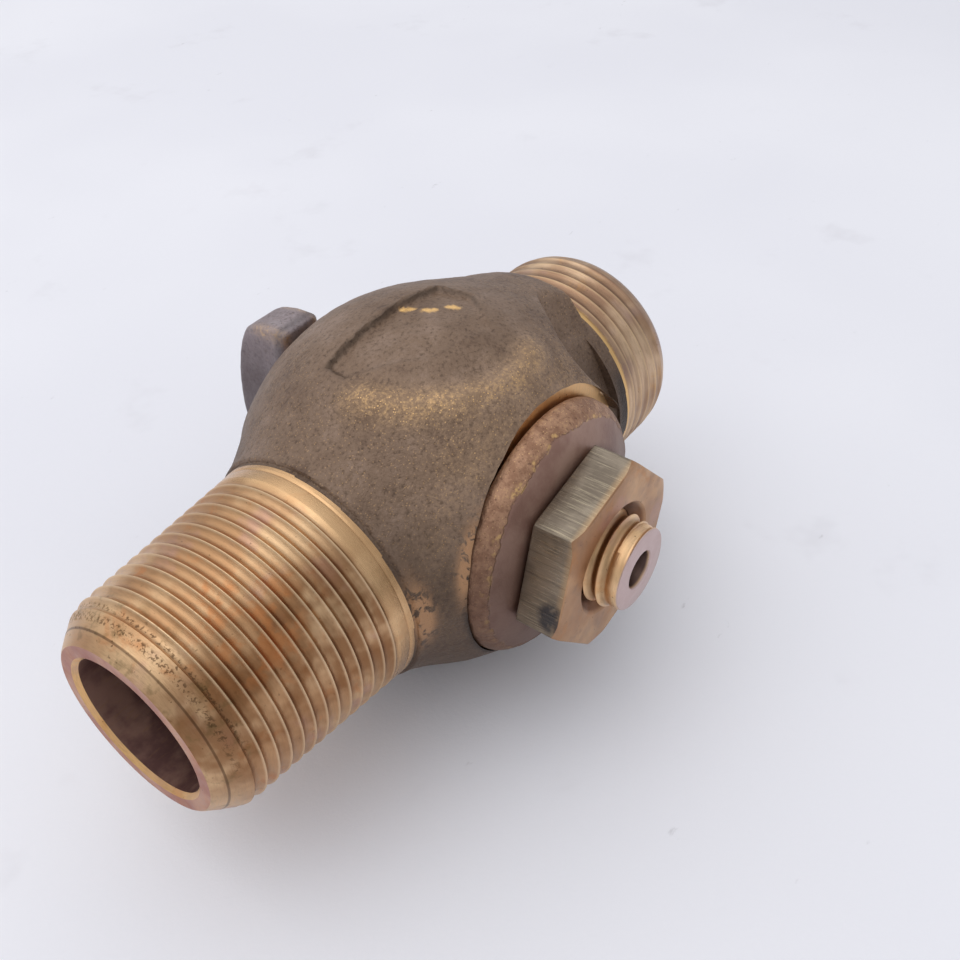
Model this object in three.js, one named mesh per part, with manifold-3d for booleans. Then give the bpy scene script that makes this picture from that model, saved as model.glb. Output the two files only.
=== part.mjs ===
// Ground-key shut-off valve: a cast bronze body with a long tapered inlet thread and a short
// straight outlet thread on one axis, and a tapered key that turns across them.
// The key is drawn into its seat by a crowned washer and a hexagon nut at its small end.
//
// Units are millimetres. The drawing axes cross where the flow axis meets the key axis:
//   +X runs along the flow towards the outlet, +Y along the key towards its tee head, +Z is up.
// The exported group moves that crossing so that the origin is the bottom centre of the valve's box.
import * as THREE from 'three';
import { mergeVertices } from 'three/addons/utils/BufferGeometryUtils.js';
import Module from 'manifold-3d';

const wasm = await Module();
wasm.setup();

// ---- Driving dimensions -------------------------------------------------------------------

// Gap kept between pieces that touch on the real valve.
const GAP = 0.3;

// Threads: 14 turns per inch on the inlet, 12 on the outlet.
const INCH = 25.4;
const INLET_PITCH = INCH / 14;
const OUTLET_PITCH = INCH / 12;
const THREAD_DEPTH_PER_PITCH = 0.58;
const ROOT_FLAT_PER_PITCH = 0.1;

// Inlet end, with a thread that tapers 1.75 inch on the diameter per foot.
const INLET_END = -52.8;
const INLET_BIG_END = -24.15;
const INLET_BIG_RADIUS = 16.45;
const INLET_TAPER = 1.75 / 12 / 2;
const INLET_BEVEL_RADIUS = 11.95;
const INLET_BEVEL_LENGTH = 2.6;
const COLLAR_LENGTH = 2.8;

// Outlet end, with a straight thread, a rounded nose and a flared seat inside.
const OUTLET_START = 26.2;
const OUTLET_END = 39.8;
const OUTLET_RADIUS = 16.0;
const OUTLET_NOSE_RADIUS = 13.6;
const OUTLET_NOSE_LENGTH = 2.4;
const FLARE_RADIUS = 12.2;

// Water way: round from each end, and a narrower slot where it meets the key.
const BORE_RADIUS = 9.6;
const BORE_CHAMFER = 0.8;
const ROUND_BORE_STOP = 16.0;
const BODY_SLOT_WIDTH = 14.0;
const KEY_SLOT_WIDTH = 13.0;
const SLOT_HEIGHT = 19.0;

// Bulb of the casting, faced flat at both ends of the key.
const BULB_RADIUS = 25.8;
const BOSS_FACE = -17.7;
const RIM_FACE = 21.2;
const SPOT_FACE_RADIUS = 19.3;

// Two parallel wrench flats between the bulb and the outlet thread. FLAT_ANGLE is the direction
// that one of them faces, turned from +Y towards +Z.
const FLAT_DISTANCE = 13.9;
const FLAT_START = 21.4;
const FLAT_SLOPE_START = 12.2;
const FLAT_SLOPE_TOP = 24.4;
const FLAT_ANGLE = THREE.MathUtils.degToRad(142);

// Name pad on the top of the bulb: a shallow recess with six corners, left blank.
const PAD_DEPTH = 0.5;
const PAD_CORNERS = [
  [-11.9, 5.4],
  [7.8, 3.6],
  [8.8, -1.6],
  [3.5, -8.1],
  [-5.7, -6.0],
  [-12.6, 1.6],
];

// Key: a plug with a slot through it, a tee head at the big end and a stem at the small end.
const PLUG_RADIUS = 11.95;
const PLUG_TAPER = 0.06;
const PLUG_TOP = 21.9;
const PLUG_BOTTOM = -17.3;
const TEE_THICKNESS = 6.7;
const TEE_HALF_WIDTH = 15.6;
const TEE_BASE = 22.1;
const TEE_SHOULDER = 29.4;
const TEE_TOP = 34.5;
const TEE_EDGE = 0.6;
const SHANK_RADIUS = 7.6;
const SHANK_FLAT = 6.5;
const SHANK_END = -22.4;
const STEM_RADIUS = 6.3;
const STEM_END = -33.2;
const CENTRE_HOLE_RADIUS = 2.5;
const CENTRE_HOLE_DEPTH = 6.0;

// Washer: crowned towards the nut, with a D-shaped hole that turns it with the key.
const WASHER_RADIUS = 17.75;
const WASHER_RIM = 3.0;
const WASHER_CROWN = 5.1;
const WASHER_SEAT_RADIUS = 12.4;

// Nut: 15/16 inch across its flats.
const NUT_ACROSS_FLATS = INCH * 15 / 16;
const NUT_THICKNESS = 6.1;
const NUT_CHAMFER = 0.9;
const NUT_TURN = THREE.MathUtils.degToRad(13.5);
const COUNTERSINK_RADIUS = 7.7;
const COUNTERSINK_DEPTH = 1.0;

// Facets on a full turn.
const BODY_SEGMENTS = 48;
const KEY_SEGMENTS = 48;

const washerBack = BOSS_FACE - GAP;
const nutBack = washerBack - WASHER_CROWN - GAP;
const nutFront = nutBack - NUT_THICKNESS;
const boreClearance = GAP / 2;

// ---- Geometry helpers ---------------------------------------------------------------------

// A closed three.js geometry as a manifold solid, with its shared vertices merged.
function solidFrom(geometry) {
  const bare = geometry.clone();
  bare.deleteAttribute('normal');
  bare.deleteAttribute('uv');
  const merged = mergeVertices(bare, 1e-5);
  const index = merged.index.array;
  const triangles = [];
  for (let i = 0; i < index.length; i += 3) {
    const [a, b, c] = [index[i], index[i + 1], index[i + 2]];
    if (a !== b && b !== c && c !== a) {
      triangles.push(a, b, c);
    }
  }
  return new wasm.Manifold(new wasm.Mesh({
    numProp: 3,
    vertProperties: new Float32Array(merged.attributes.position.array),
    triVerts: new Uint32Array(triangles),
  }));
}

// A manifold solid as a flat-shaded three.js geometry.
function geometryFrom(solid) {
  const mesh = solid.getMesh();
  const geometry = new THREE.BufferGeometry();
  geometry.setAttribute('position', new THREE.BufferAttribute(mesh.vertProperties, 3));
  geometry.setIndex(new THREE.BufferAttribute(mesh.triVerts, 1));
  geometry.computeVertexNormals();
  return geometry;
}

// A solid of revolution about the key axis, from [radius, position] pairs.
function turnedAboutKey(profile, segments = KEY_SEGMENTS) {
  const points = profile.map(([radius, y]) => new THREE.Vector2(radius, y));
  return solidFrom(new THREE.LatheGeometry(points, segments));
}

// A solid of revolution about the flow axis, from [radius, position] pairs.
function turnedAboutFlow(profile, segments = BODY_SEGMENTS) {
  const points = profile.map(([radius, x]) => new THREE.Vector2(radius, x));
  return solidFrom(new THREE.LatheGeometry(points, segments).rotateZ(-Math.PI / 2));
}

function block(size, centre) {
  return solidFrom(new THREE.BoxGeometry(...size).translate(...centre));
}

// Profile of a thread as rings one pitch apart, each with a sharp crest and a narrow flat root.
function threadProfile({ start, end, pitch, crest, root }) {
  const turns = Math.floor((end - start) / pitch);
  const halfRoot = pitch * ROOT_FLAT_PER_PITCH / 2;
  const profile = [];
  for (let turn = 0; turn < turns; turn += 1) {
    const x = start + turn * pitch;
    profile.push([root(x), x + halfRoot]);
    profile.push([crest(x + pitch / 2), x + pitch / 2]);
    profile.push([root(x + pitch), x + pitch - halfRoot]);
  }
  return profile;
}

// ---- Body ---------------------------------------------------------------------------------

function inletCrest(x) {
  return INLET_BIG_RADIUS + INLET_TAPER * (x - INLET_BIG_END);
}

function inletRoot(x) {
  return inletCrest(x) - INLET_PITCH * THREAD_DEPTH_PER_PITCH;
}

function outletCrest() {
  return OUTLET_RADIUS;
}

function outletRoot() {
  return OUTLET_RADIUS - OUTLET_PITCH * THREAD_DEPTH_PER_PITCH;
}

// Inlet end, from its face to the collar where the thread runs out.
function inletProfile() {
  const bevelEnd = INLET_END + INLET_BEVEL_LENGTH;
  const threadEnd = INLET_BIG_END - COLLAR_LENGTH;
  return [
    [0, INLET_END],
    [INLET_BEVEL_RADIUS, INLET_END],
    ...threadProfile({
      start: bevelEnd,
      end: threadEnd,
      pitch: INLET_PITCH,
      crest: inletCrest,
      root: inletRoot,
    }),
    [inletCrest(threadEnd + 0.6), threadEnd + 0.6],
    [INLET_BIG_RADIUS, INLET_BIG_END],
  ];
}

// Outlet end, from the plain band beside the wrench flats to its face.
function outletProfile() {
  const threadStart = OUTLET_START + OUTLET_PITCH;
  return [
    [OUTLET_RADIUS, OUTLET_START],
    [OUTLET_RADIUS, threadStart - OUTLET_PITCH / 2],
    ...threadProfile({
      start: threadStart,
      end: OUTLET_END - OUTLET_NOSE_LENGTH,
      pitch: OUTLET_PITCH,
      crest: outletCrest,
      root: outletRoot,
    }),
    [OUTLET_RADIUS - 0.6, OUTLET_END - OUTLET_NOSE_LENGTH],
    [OUTLET_NOSE_RADIUS, OUTLET_END],
    [0, OUTLET_END],
  ];
}

// Outer shape about the flow axis, from the inlet face to the outlet face.
function flowBarrel() {
  return turnedAboutFlow([
    ...inletProfile(),
    [17.4, -22.0],
    [19.2, -18.0],
    [21.4, -14.4],
    [24.2, -8.2],
    [25.0, 0.0],
    [24.6, 5.0],
    [24.0, 8.5],
    [23.2, 11.8],
    [22.1, 15.6],
    [20.8, 19.6],
    [19.6, 23.2],
    [18.6, OUTLET_START - 0.9],
    [17.8, OUTLET_START],
    ...outletProfile(),
  ]);
}

// Bulb about the key axis: a ball cut flat at the boss face and at the rim.
function bulb() {
  const steps = 18;
  const low = Math.asin(BOSS_FACE / BULB_RADIUS);
  const high = Math.asin(RIM_FACE / BULB_RADIUS);
  const profile = [[0, BOSS_FACE]];
  for (let i = 0; i <= steps; i += 1) {
    const angle = THREE.MathUtils.lerp(low, high, i / steps);
    profile.push([BULB_RADIUS * Math.cos(angle), BULB_RADIUS * Math.sin(angle)]);
  }
  profile.push([0, RIM_FACE]);
  return turnedAboutKey(profile, BODY_SEGMENTS);
}

// What one wrench flat takes away: a slope down the bulb, then a plane beside the thread.
function wrenchFlatCutter(turn) {
  const far = 40;
  const slope = (FLAT_SLOPE_TOP - FLAT_DISTANCE) / (FLAT_START - FLAT_SLOPE_START);
  const outline = new THREE.Shape([
    new THREE.Vector2(FLAT_START, FLAT_DISTANCE),
    new THREE.Vector2(OUTLET_START, FLAT_DISTANCE),
    new THREE.Vector2(OUTLET_START, far),
    new THREE.Vector2(FLAT_START - (far - FLAT_DISTANCE) / slope, far),
  ]);
  const prism = new THREE.ExtrudeGeometry(outline, { depth: far, bevelEnabled: false });
  prism.translate(0, 0, -far / 2);
  return solidFrom(prism.rotateX(turn));
}

// Everything that water passes through: round bores, the slot at the key and the flared seat.
function waterWay() {
  const flareLength = FLARE_RADIUS - BORE_RADIUS;
  const inlet = turnedAboutFlow([
    [0, INLET_END - 1],
    [BORE_RADIUS + BORE_CHAMFER + 1, INLET_END - 1],
    [BORE_RADIUS, INLET_END + BORE_CHAMFER],
    [BORE_RADIUS, -ROUND_BORE_STOP],
    [0, -ROUND_BORE_STOP],
  ]);
  const outlet = turnedAboutFlow([
    [0, ROUND_BORE_STOP],
    [BORE_RADIUS, ROUND_BORE_STOP],
    [BORE_RADIUS, OUTLET_END - flareLength],
    [FLARE_RADIUS + 1, OUTLET_END + 1],
    [0, OUTLET_END + 1],
  ]);
  const slot = block([2 * ROUND_BORE_STOP + 1, SLOT_HEIGHT, BODY_SLOT_WIDTH], [0, 0, 0]);
  return inlet.add(outlet).add(slot);
}

function plugRadius(y) {
  return PLUG_RADIUS + PLUG_TAPER * y;
}

// Tapered seat that the key turns in.
function keySeat() {
  const low = BOSS_FACE - 3;
  const high = RIM_FACE + 3;
  return turnedAboutKey([
    [0, low],
    [plugRadius(low) + boreClearance, low],
    [plugRadius(high) + boreClearance, high],
    [0, high],
  ]);
}

// Facing cut that the washer bears on.
function spotFace() {
  return turnedAboutKey([
    [0, BOSS_FACE - 20],
    [SPOT_FACE_RADIUS, BOSS_FACE - 20],
    [SPOT_FACE_RADIUS, BOSS_FACE],
    [0, BOSS_FACE],
  ], BODY_SEGMENTS);
}

// Facing cut that levels the rim round the big end of the key.
function rimFace() {
  const size = 80;
  return block([size, size, size], [0, RIM_FACE + size / 2, 0]);
}

// What the name pad takes away: a prism over its outline, down to a ball inside the bulb.
function namePadCutter() {
  const height = 15;
  const outline = new THREE.Shape(PAD_CORNERS.map(([x, y]) => new THREE.Vector2(x, y)));
  const prism = new THREE.ExtrudeGeometry(outline, { depth: height, bevelEnabled: false });
  const floorBall = new THREE.SphereGeometry(BULB_RADIUS - PAD_DEPTH, BODY_SEGMENTS, BODY_SEGMENTS);
  return solidFrom(prism.translate(0, 0, height)).subtract(solidFrom(floorBall));
}

function valveBody() {
  return flowBarrel()
    .add(bulb())
    .subtract(wrenchFlatCutter(FLAT_ANGLE))
    .subtract(wrenchFlatCutter(FLAT_ANGLE + Math.PI))
    .subtract(spotFace())
    .subtract(rimFace())
    .subtract(namePadCutter())
    .subtract(waterWay())
    .subtract(keySeat());
}

// ---- Key ----------------------------------------------------------------------------------

// Flat bar across the big end, with a low arch along its top and rounded shoulders.
function teeHead() {
  const inset = TEE_EDGE;
  const side = TEE_HALF_WIDTH - inset;
  const base = TEE_BASE + inset;
  const top = TEE_TOP - inset;
  const outline = new THREE.Shape();
  outline.moveTo(-side, base);
  outline.lineTo(side, base);
  outline.lineTo(side, TEE_SHOULDER - 2);
  outline.quadraticCurveTo(side, TEE_SHOULDER + 1, side - 4, TEE_SHOULDER + 2.3);
  outline.quadraticCurveTo(side / 2, top, 0, top);
  outline.quadraticCurveTo(-side / 2, top, -side + 4, TEE_SHOULDER + 2.3);
  outline.quadraticCurveTo(-side, TEE_SHOULDER + 1, -side, TEE_SHOULDER - 2);
  outline.closePath();
  const bar = new THREE.ExtrudeGeometry(outline, {
    depth: TEE_THICKNESS - 2 * inset,
    curveSegments: 5,
    bevelThickness: inset,
    bevelSize: inset,
    bevelSegments: 1,
  });
  bar.translate(0, 0, -TEE_THICKNESS / 2 + inset);
  return solidFrom(bar.rotateY(Math.PI / 2));
}

function plugAndStem() {
  const chamfer = 0.5;
  return turnedAboutKey([
    [0, STEM_END],
    [STEM_RADIUS - chamfer, STEM_END],
    [STEM_RADIUS, STEM_END + chamfer],
    [STEM_RADIUS, SHANK_END],
    [SHANK_RADIUS, SHANK_END],
    [SHANK_RADIUS, PLUG_BOTTOM],
    [plugRadius(PLUG_BOTTOM) - boreClearance, PLUG_BOTTOM],
    [plugRadius(PLUG_TOP) - boreClearance, PLUG_TOP],
    [plugRadius(PLUG_TOP) - 1.2, PLUG_TOP + 1],
    [0, PLUG_TOP + 1],
  ]);
}

// The flat on the shank that makes its section a D.
function shankFlatCutter() {
  const length = PLUG_BOTTOM - SHANK_END;
  const width = 2 * SHANK_RADIUS;
  return block([width, length, width], [-SHANK_FLAT - width / 2, PLUG_BOTTOM - length / 2, 0]);
}

function centreHole() {
  return turnedAboutKey([
    [0, STEM_END - 1],
    [CENTRE_HOLE_RADIUS, STEM_END - 1],
    [CENTRE_HOLE_RADIUS, STEM_END + CENTRE_HOLE_DEPTH],
    [0, STEM_END + CENTRE_HOLE_DEPTH + 1.4],
  ], 24);
}

function keyPlug() {
  const slotLength = 4 * PLUG_RADIUS;
  return plugAndStem()
    .add(teeHead())
    .subtract(block([KEY_SLOT_WIDTH, SLOT_HEIGHT, slotLength], [0, 0, 0]))
    .subtract(shankFlatCutter())
    .subtract(centreHole());
}

// ---- Washer and nut -----------------------------------------------------------------------

function washerHole() {
  const radius = SHANK_RADIUS + GAP;
  const flat = SHANK_FLAT + GAP;
  const width = 2 * radius;
  const round = turnedAboutKey([
    [0, washerBack + 1],
    [0, washerBack - WASHER_CROWN - 1],
    [radius, washerBack - WASHER_CROWN - 1],
    [radius, washerBack + 1],
    [0, washerBack + 1],
  ]);
  return round.subtract(block([width, 4 * width, width], [-flat - width / 2, washerBack, 0]));
}

function keyWasher() {
  const edge = 0.7;
  const rimFront = washerBack - WASHER_RIM;
  const crown = washerBack - WASHER_CROWN;
  const disc = turnedAboutKey([
    [0, crown],
    [WASHER_SEAT_RADIUS, crown],
    [WASHER_RADIUS - 1.1, rimFront - 0.5],
    [WASHER_RADIUS - 0.3, rimFront + 0.1],
    [WASHER_RADIUS, rimFront + edge],
    [WASHER_RADIUS, washerBack - 0.3],
    [WASHER_RADIUS - 0.3, washerBack],
    [0, washerBack],
  ]);
  return disc.subtract(washerHole());
}

// Hexagon prism cut by a turned blank, which chamfers its front corners.
function keyNut() {
  const cornerRadius = NUT_ACROSS_FLATS / Math.sqrt(3);
  const hexagon = new THREE.CylinderGeometry(cornerRadius, cornerRadius, NUT_THICKNESS, 6, 1);
  hexagon.rotateY(Math.PI / 2 - NUT_TURN);
  hexagon.translate(0, nutFront + NUT_THICKNESS / 2, 0);
  const blank = turnedAboutKey([
    [0, nutFront],
    [cornerRadius - NUT_CHAMFER, nutFront],
    [cornerRadius + NUT_CHAMFER, nutFront + NUT_CHAMFER],
    [cornerRadius + NUT_CHAMFER, nutBack],
    [0, nutBack],
  ]);
  const boreRadius = STEM_RADIUS + GAP;
  const hole = turnedAboutKey([
    [0, nutFront - 1],
    [COUNTERSINK_RADIUS + 1, nutFront - 1],
    [boreRadius, nutFront + COUNTERSINK_DEPTH],
    [boreRadius, nutBack + 1],
    [0, nutBack + 1],
  ]);
  return solidFrom(hexagon).intersect(blank).subtract(hole);
}

// ---- Assembly -----------------------------------------------------------------------------

const bronzeCasting = new THREE.MeshStandardMaterial({ color: 0x7a654c, roughness: 0.55, metalness: 0.9 });
const keyBronze = new THREE.MeshStandardMaterial({ color: 0xa5825a, roughness: 0.4, metalness: 0.9 });
const copperBronze = new THREE.MeshStandardMaterial({ color: 0x8c6246, roughness: 0.5, metalness: 0.9 });
const dullBrass = new THREE.MeshStandardMaterial({ color: 0x8f8264, roughness: 0.35, metalness: 0.9 });

function piece(name, solid, material) {
  const mesh = new THREE.Mesh(geometryFrom(solid), material);
  mesh.name = name;
  return mesh;
}

const valve = new THREE.Group();
valve.add(piece('valve_body', valveBody(), bronzeCasting));
valve.add(piece('key_plug', keyPlug(), keyBronze));
valve.add(piece('key_washer', keyWasher(), copperBronze));
valve.add(piece('key_nut', keyNut(), dullBrass));
valve.position.set(
  -(INLET_END + OUTLET_END) / 2,
  -(STEM_END + TEE_TOP) / 2,
  BULB_RADIUS,
);

export default valve;
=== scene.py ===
"""Looks of a ground-key shut-off valve: a tarnished sand-cast bronze body with machined threads,
a tee-headed key, a crowned washer and a hexagon nut, on a pale floor.

Shapes are worked out in millimetres on the drawing axes, which cross where the flow axis meets the
key axis: +X along the flow towards the outlet, +Y along the key towards its tee head, +Z up.
"""

import math

import bpy
import numpy as np
from mathutils import Matrix, Vector, noise


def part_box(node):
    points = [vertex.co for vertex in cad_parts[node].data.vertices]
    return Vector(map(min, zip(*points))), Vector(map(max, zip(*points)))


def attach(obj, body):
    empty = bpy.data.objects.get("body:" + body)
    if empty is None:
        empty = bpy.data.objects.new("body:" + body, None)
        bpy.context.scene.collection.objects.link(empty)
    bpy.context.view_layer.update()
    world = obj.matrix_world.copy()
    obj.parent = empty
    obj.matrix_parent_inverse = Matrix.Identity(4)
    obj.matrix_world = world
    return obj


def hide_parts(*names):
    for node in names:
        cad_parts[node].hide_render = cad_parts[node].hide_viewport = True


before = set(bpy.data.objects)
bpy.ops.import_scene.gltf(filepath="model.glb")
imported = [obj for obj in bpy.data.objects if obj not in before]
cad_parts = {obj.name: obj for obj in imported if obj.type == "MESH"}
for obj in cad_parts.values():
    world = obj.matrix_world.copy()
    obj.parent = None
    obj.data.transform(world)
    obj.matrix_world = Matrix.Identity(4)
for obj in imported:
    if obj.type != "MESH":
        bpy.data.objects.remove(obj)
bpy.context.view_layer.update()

# ---- Driving dimensions, in millimetres on the drawing axes --------------------------------

MM = 0.001
INCH = 25.4

INLET_END = -52.8
INLET_BIG_END = -24.15
INLET_BIG_RADIUS = 16.45
INLET_TAPER = 1.75 / 12 / 2
INLET_PITCH = INCH / 14
COLLAR_START = -27.3
OUTLET_START = 26.2
OUTLET_END = 39.8
OUTLET_RADIUS = 16.0
OUTLET_PITCH = INCH / 12
NOSE_REACH = 3.0
NOSE_LENGTH = 4.4
INLET_DEPTH = 0.56
OUTLET_DEPTH = 0.34
BORE_RADIUS = 9.6
MOUTH_CHAMFER = 0.55
FLARE_RADIUS = 12.2
BODY_SLOT = (33.0, 19.0, 14.0)
KEY_SLOT = (13.0, 19.0, 60.0)

BULB_RADIUS = 25.7
BOSS_FACE = -17.7
RIM_FACE = 21.2
RIM_CUT = RIM_FACE - 0.08
RIM_RADIUS = 15.2
RIM_SWELL = 1.1
RIM_SWELL_ANGLE = math.radians(152)
SPOT_FACE_RADIUS = 18.2
SPOT_FACE_SHIFT = 1.1
SPOT_FACE_ANGLE = math.radians(57)
SEAT_GAP = 0.15

FLAT_HIGH = 15.5
FLAT_LOW = 13.9
FLAT_WALL = 15.2
FLAT_WALL_MIDDLE = 5.5
RELIEF_DISTANCE = 15.6
RELIEF_START = 17.2
FLAT_ANGLE = math.radians(142)

PLUG_RADIUS = 11.95
PLUG_TAPER = 0.06
PLUG_TOP = 21.9
PLUG_BOTTOM = -17.3
TEE_HALF_THICKNESS = 3.6
TEE_HALF_WIDTH = 16.4
SHANK_RADIUS = 7.6
SHANK_FLAT = 6.5
SHANK_END = -22.4
STEM_RADIUS = 6.3
STEM_END = -33.2
STEM_PITCH = INCH / 14
STEM_THREAD_DEPTH = 0.72
STEM_THREAD_GAP = 0.12
LEAD_RADIUS = STEM_RADIUS + STEM_THREAD_GAP - STEM_THREAD_DEPTH - 0.06
SHANK_GAP = 0.3

WASHER_BACK = -18.0
WASHER_RADIUS = 17.75
WASHER_CROWN = 5.1
NUT_BACK = -23.4
NUT_FRONT = -29.5
NUT_ACROSS_FLATS = INCH * 15 / 16
NUT_TURN = math.radians(13.5)

washer_low, washer_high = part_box("key_washer")
CROSSING = np.array([
    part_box("valve_body")[0].x / MM - INLET_END,
    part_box("key_plug")[0].y / MM - STEM_END,
    (washer_low.z + washer_high.z) / 2 / MM,
])


# ---- Mesh helpers --------------------------------------------------------------------------

def mesh_object(name, points, faces):
    """A mesh object from points in millimetres on the drawing axes."""
    mesh = bpy.data.meshes.new(name)
    placed = (np.asarray(points, float) + CROSSING) * MM
    mesh.from_pydata(placed.tolist(), [], [tuple(f) for f in faces])
    mesh.validate()
    mesh.update()
    obj = bpy.data.objects.new(name, mesh)
    bpy.context.scene.collection.objects.link(obj)
    return obj


def read_vectors(items, name):
    """One vector for each vertex or face, as rows."""
    flat = np.empty(len(items) * 3)
    items.foreach_get(name, flat)
    return flat.reshape(-1, 3)


def points_of(obj):
    """Vertices of an object, in millimetres on the drawing axes."""
    return read_vectors(obj.data.vertices, "co") / MM - CROSSING


def normals_of(obj):
    return read_vectors(obj.data.vertices, "normal")


def face_centres(obj):
    return read_vectors(obj.data.polygons, "center") / MM - CROSSING


def face_normals(obj):
    return read_vectors(obj.data.polygons, "normal")


def set_points(obj, points):
    placed = (points + CROSSING) * MM
    obj.data.vertices.foreach_set("co", placed.ravel())
    obj.data.update()


def apply_modifiers(obj):
    """Turns the result of an object's modifiers into its mesh."""
    bpy.context.view_layer.update()
    depsgraph = bpy.context.evaluated_depsgraph_get()
    result = bpy.data.meshes.new_from_object(obj.evaluated_get(depsgraph))
    obj.modifiers.clear()
    old = obj.data
    obj.data = result
    bpy.data.meshes.remove(old)


def combine(target, other, operation):
    """Boolean of two closed meshes. The other object is used up."""
    modifier = target.modifiers.new("combine", "BOOLEAN")
    modifier.operation = operation
    modifier.solver = "MANIFOLD"
    modifier.object = other
    apply_modifiers(target)
    bpy.data.objects.remove(other)
    return target


def turned(name, profile, axis, segments=128):
    """A closed solid of revolution about the X or the Y drawing axis, from [radius, position] pairs
    that start and end on the axis."""
    inner = profile[1:-1]
    angles = np.linspace(0, 2 * math.pi, segments, endpoint=False)
    rings = []
    for radius, place in inner:
        ring = np.stack([np.full(segments, place), radius * np.cos(angles), radius * np.sin(angles)], 1)
        rings.append(ring)
    ends = np.array([[profile[0][1], 0, 0], [profile[-1][1], 0, 0]], float)
    points = np.concatenate(rings + [ends])
    first_end = len(inner) * segments
    faces = []
    for step in range(segments):
        beside = (step + 1) % segments
        for ring in range(len(inner) - 1):
            low = ring * segments
            high = low + segments
            faces.append((low + step, low + beside, high + beside, high + step))
        last = (len(inner) - 1) * segments
        faces.append((step, first_end, beside))
        faces.append((last + step, last + beside, first_end + 1))
    if axis == "Y":
        points = points[:, [1, 0, 2]]
    obj = mesh_object(name, points, faces)
    face_outwards(obj)
    return obj


def face_outwards(obj):
    """Turns a closed mesh right side out, by the sign of its volume."""
    mesh = obj.data
    mesh.calc_loop_triangles()
    corners = np.empty(len(mesh.loop_triangles) * 3, np.int32)
    mesh.loop_triangles.foreach_get("vertices", corners)
    a, b, c = np.moveaxis(read_vectors(mesh.vertices, "co")[corners.reshape(-1, 3)], 1, 0)
    if np.einsum("ij,ij->i", a, np.cross(b, c)).sum() < 0:
        mesh.flip_normals()
        mesh.update()


def block(name, size, centre):
    """A box with its sides along the drawing axes."""
    half = np.array(size) / 2
    corners = np.array([[x, y, z] for x in (-1, 1) for y in (-1, 1) for z in (-1, 1)])
    faces = [(0, 1, 3, 2), (4, 6, 7, 5), (0, 4, 5, 1), (2, 3, 7, 6), (0, 2, 6, 4), (1, 5, 7, 3)]
    obj = mesh_object(name, corners * half + np.array(centre), faces)
    face_outwards(obj)
    return obj


def everywhere(value):
    """A crest radius or thread depth that is the same all along a screw."""
    return lambda place: np.full(np.shape(place), value)


def screw(name, axis, start, end, pitch, crest_radius, depth, segments=144):
    """A closed right-hand screw with sharp crests and rounded valleys, as one ribbon of profiles
    wound round the axis. It starts and ends about a turn beyond the places given."""
    offsets = np.array([0.0, 0.05, 0.14, 0.26, 0.39, 0.525, 0.66, 0.79, 0.91])
    sag = np.where(offsets <= 0.05, 0.0, 1 - np.abs(2 * (offsets - 0.525) / 0.95) ** 2)
    turns = int(math.ceil((end - start) / pitch)) + 2
    steps = turns * segments
    count = len(offsets)
    hand = 1 if axis == "X" else -1
    index = np.arange(steps + 1)
    place = start - pitch + pitch * (index[:, None] / segments + offsets[None, :])
    radius = crest_radius(place) - depth(place) * sag[None, :]
    spin = hand * (2 * math.pi * index / segments)[:, None]
    points = np.stack([place, radius * np.cos(spin), radius * np.sin(spin)], 2).reshape(-1, 3)
    tail_index = steps + np.arange(1, segments + 1)
    tail_place = start - pitch + pitch * tail_index / segments
    tail_radius = crest_radius(tail_place)
    tail_spin = hand * (2 * math.pi * tail_index / segments)
    tail = np.stack([tail_place, tail_radius * np.cos(tail_spin), tail_radius * np.sin(tail_spin)], 1)
    ends = np.array([[start - 2 * pitch, 0, 0], [tail_place[-1] + 2 * pitch, 0, 0]])
    points = np.concatenate([points, tail, ends])
    first_tail = (steps + 1) * count

    def at(step, offset):
        if offset == count:
            step += segments
            offset = 0
        if step <= steps:
            return step * count + offset
        return first_tail + step - steps - 1

    faces = []
    for step in range(steps):
        for offset in range(count):
            near = (at(step, offset), at(step, offset + 1))
            far = (at(step + 1, offset + 1), at(step + 1, offset))
            faces.append(near + far)
    low_loop = [at(step, 0) for step in range(segments)]
    low_loop += [at(0, offset) for offset in range(count, 0, -1)]
    high_loop = [at(steps + step, 0) for step in range(segments, 0, -1)]
    high_loop += [at(steps, offset) for offset in range(count)]
    for loop, middle in ((low_loop, len(points) - 2), (high_loop, len(points) - 1)):
        for i, here in enumerate(loop):
            faces.append((here, loop[(i + 1) % len(loop)], middle))
    if axis == "Y":
        points = points[:, [1, 0, 2]]
    obj = mesh_object(name, points, faces)
    face_outwards(obj)
    return obj


# ---- Rounded shapes from distance functions ------------------------------------------------

def soft_union(a, b, reach):
    share = np.clip(0.5 + 0.5 * (b - a) / reach, 0, 1)
    return b * (1 - share) + a * share - reach * share * (1 - share)


def soft_common(a, b, reach):
    return -soft_union(-a, -b, reach)


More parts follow.
